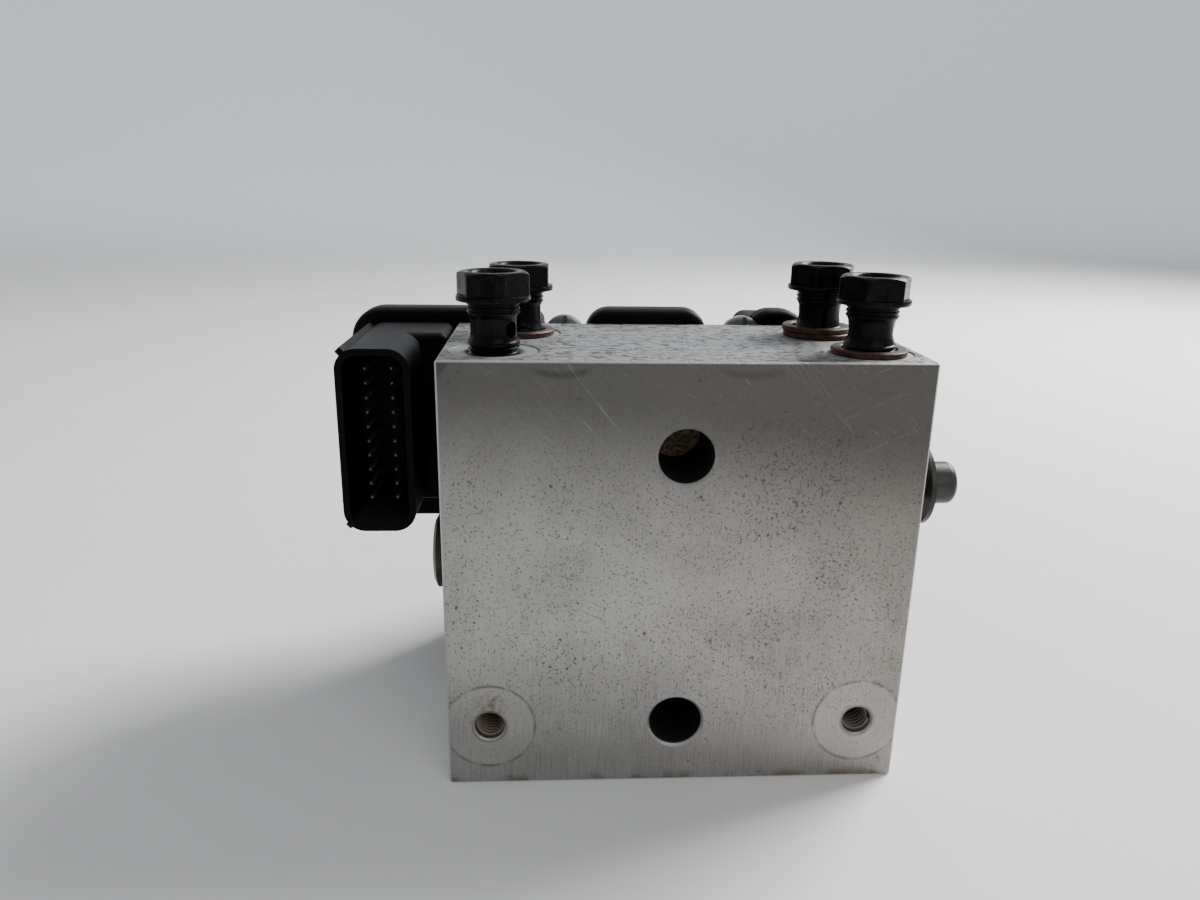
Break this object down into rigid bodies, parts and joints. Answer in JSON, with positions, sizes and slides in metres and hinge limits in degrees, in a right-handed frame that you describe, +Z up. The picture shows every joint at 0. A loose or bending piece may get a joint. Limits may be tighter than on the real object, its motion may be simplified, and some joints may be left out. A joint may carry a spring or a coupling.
{
  "type": "anti-lock brake module",
  "caption": "Anti-lock brake module: machined valve block with banjo hose bolts in its top, black control unit with side socket and pump motor behind.",
  "frame": {"origin": "centre of the valve block's bottom face", "axes": "+Z up, +Y from the block's plain front towards the control unit, +X to the right seen from the front"},
  "size_m": [0.1312, 0.0972, 0.103],
  "materials": {
    "machined_aluminium": "satin machined, pitted and scratched",
    "black_oxide_steel": "oily black oxide",
    "copper": "oxidised brown copper",
    "dull_zinc_steel": "dull grey zinc",
    "yellow_passivated_steel": "aged yellow passivate, brown",
    "bearing_steel": "ground",
    "spring_steel": "drawn wire",
    "anodised_aluminium": "hard anodised",
    "zinc_plated_steel": "zinc plated, satin",
    "seal_rubber": "smooth",
    "valve_steel": "turned",
    "winding_copper": "enamelled wire",
    "core_iron": "stacked laminations",
    "magnet_ferrite": "sintered ferrite",
    "brush_carbon": "pressed carbon",
    "inner_plastic": "natural nylon",
    "black_plastic": "moulded, fine grain",
    "board_laminate": "green solder mask",
    "chip_plastic": "moulded",
    "tinned_pins": "bright tin",
    "screw_steel": "zinc plated, dull"
  },
  "bodies": {
    "root": {"accumulator_cap_left": "zinc_plated_steel", "accumulator_cap_right": "zinc_plated_steel", "accumulator_spring_left": "spring_steel", "accumulator_spring_right": "spring_steel", "banjo_bolt_front_left": "black_oxide_steel", "banjo_bolt_front_right": "black_oxide_steel", "banjo_bolt_rear_left": "black_oxide_steel", "banjo_bolt_rear_right": "black_oxide_steel", "board_chips": "chip_plastic", "brush_holder": "inner_plastic", "circuit_board": "board_laminate", "coil_frame": "inner_plastic", "connector_pins": "tinned_pins", "copper_washer_front_right": "copper", "copper_washer_rear_left": "copper", "copper_washers_rear_right": "copper", "fixing_screws": "screw_steel", "housing_screws": "screw_steel", "motor_brushes": "brush_carbon", "motor_can": "zinc_plated_steel", "motor_end_plate": "zinc_plated_steel", "motor_front_bearing": "bearing_steel", "motor_magnets": "magnet_ferrite", "motor_rear_bearing": "bearing_steel", "motor_screws": "screw_steel", "motor_seal_ring": "seal_rubber", "mounting_stud": "dull_zinc_steel", "pump_plug_left": "yellow_passivated_steel", "pump_plug_right": "yellow_passivated_steel", "pump_sleeve_left": "bearing_steel", "pump_sleeve_right": "bearing_steel", "pump_spring_left": "spring_steel", "pump_spring_right": "spring_steel", "unit_cover": "black_plastic", "unit_housing": "black_plastic", "valve_block": "machined_aluminium", "valve_cartridge_lower_left": "valve_steel", "valve_cartridge_lower_right": "valve_steel", "valve_cartridge_upper_left": "valve_steel", "valve_cartridge_upper_right": "valve_steel", "valve_coil_lower_left": "winding_copper", "valve_coil_lower_right": "winding_copper", "valve_coil_upper_left": "winding_copper", "valve_coil_upper_right": "winding_copper"},
    "rotor": {"motor_shaft": "bearing_steel", "rotor_core": "core_iron", "rotor_windings": "winding_copper", "commutator": "winding_copper"},
    "eccentric_ring": {"eccentric_ring": "bearing_steel"},
    "pump_piston_left": {"pump_piston_left": "bearing_steel"},
    "accumulator_piston_left": {"accumulator_piston_left": "anodised_aluminium", "accumulator_seal_left": "seal_rubber"},
    "pump_piston_right": {"pump_piston_right": "bearing_steel"},
    "accumulator_piston_right": {"accumulator_piston_right": "anodised_aluminium", "accumulator_seal_right": "seal_rubber"},
    "valve_armature_upper_left": {"valve_armature_upper_left": "valve_steel"},
    "valve_armature_upper_right": {"valve_armature_upper_right": "valve_steel"},
    "valve_armature_lower_left": {"valve_armature_lower_left": "valve_steel"},
    "valve_armature_lower_right": {"valve_armature_lower_right": "valve_steel"}
  },
  "joints": [
    {"name": "motor_spin", "type": "hinge", "parent": "root", "child": "rotor", "pos_m": [0, 0, 0.0425], "axis": [0, 1, 0], "continuous": true},
    {"name": "ring_spin", "type": "hinge", "parent": "rotor", "child": "eccentric_ring", "pos_m": [0, 0, 0.0415], "axis": [0, 1, 0], "continuous": true},
    {"name": "pump_piston_left_slide", "type": "slide", "parent": "root", "child": "pump_piston_left", "axis": [-1, 0, 0], "range_m": [0, 0.002], "stiffness_N_per_m": 300, "springref_m": -0.003, "deforming": ["pump_spring_left"]},
    {"name": "accumulator_left_slide", "type": "slide", "parent": "root", "child": "accumulator_piston_left", "axis": [0, 0, -1], "range_m": [0, 0.006], "stiffness_N_per_m": 400, "springref_m": -0.004, "deforming": ["accumulator_spring_left"]},
    {"name": "pump_piston_right_slide", "type": "slide", "parent": "root", "child": "pump_piston_right", "axis": [1, 0, 0], "range_m": [0, 0.002], "stiffness_N_per_m": 300, "springref_m": -0.003, "deforming": ["pump_spring_right"]},
    {"name": "accumulator_right_slide", "type": "slide", "parent": "root", "child": "accumulator_piston_right", "axis": [0, 0, -1], "range_m": [0, 0.006], "stiffness_N_per_m": 400, "springref_m": -0.004, "deforming": ["accumulator_spring_right"]},
    {"name": "valve_upper_left_slide", "type": "slide", "parent": "root", "child": "valve_armature_upper_left", "axis": [0, -1, 0], "range_m": [0, 0.0004], "stiffness_N_per_m": 150, "springref_m": -0.002},
    {"name": "valve_upper_right_slide", "type": "slide", "parent": "root", "child": "valve_armature_upper_right", "axis": [0, -1, 0], "range_m": [0, 0.0004], "stiffness_N_per_m": 150, "springref_m": -0.002},
    {"name": "valve_lower_left_slide", "type": "slide", "parent": "root", "child": "valve_armature_lower_left", "axis": [0, 1, 0], "range_m": [0, 0.0004], "stiffness_N_per_m": 150, "springref_m": -0.002},
    {"name": "valve_lower_right_slide", "type": "slide", "parent": "root", "child": "valve_armature_lower_right", "axis": [0, 1, 0], "range_m": [0, 0.0004], "stiffness_N_per_m": 150, "springref_m": -0.002}
  ],
  "couplings": [
    {"joint": "ring_spin", "follows": "motor_spin", "ratio": -1}
  ]
}
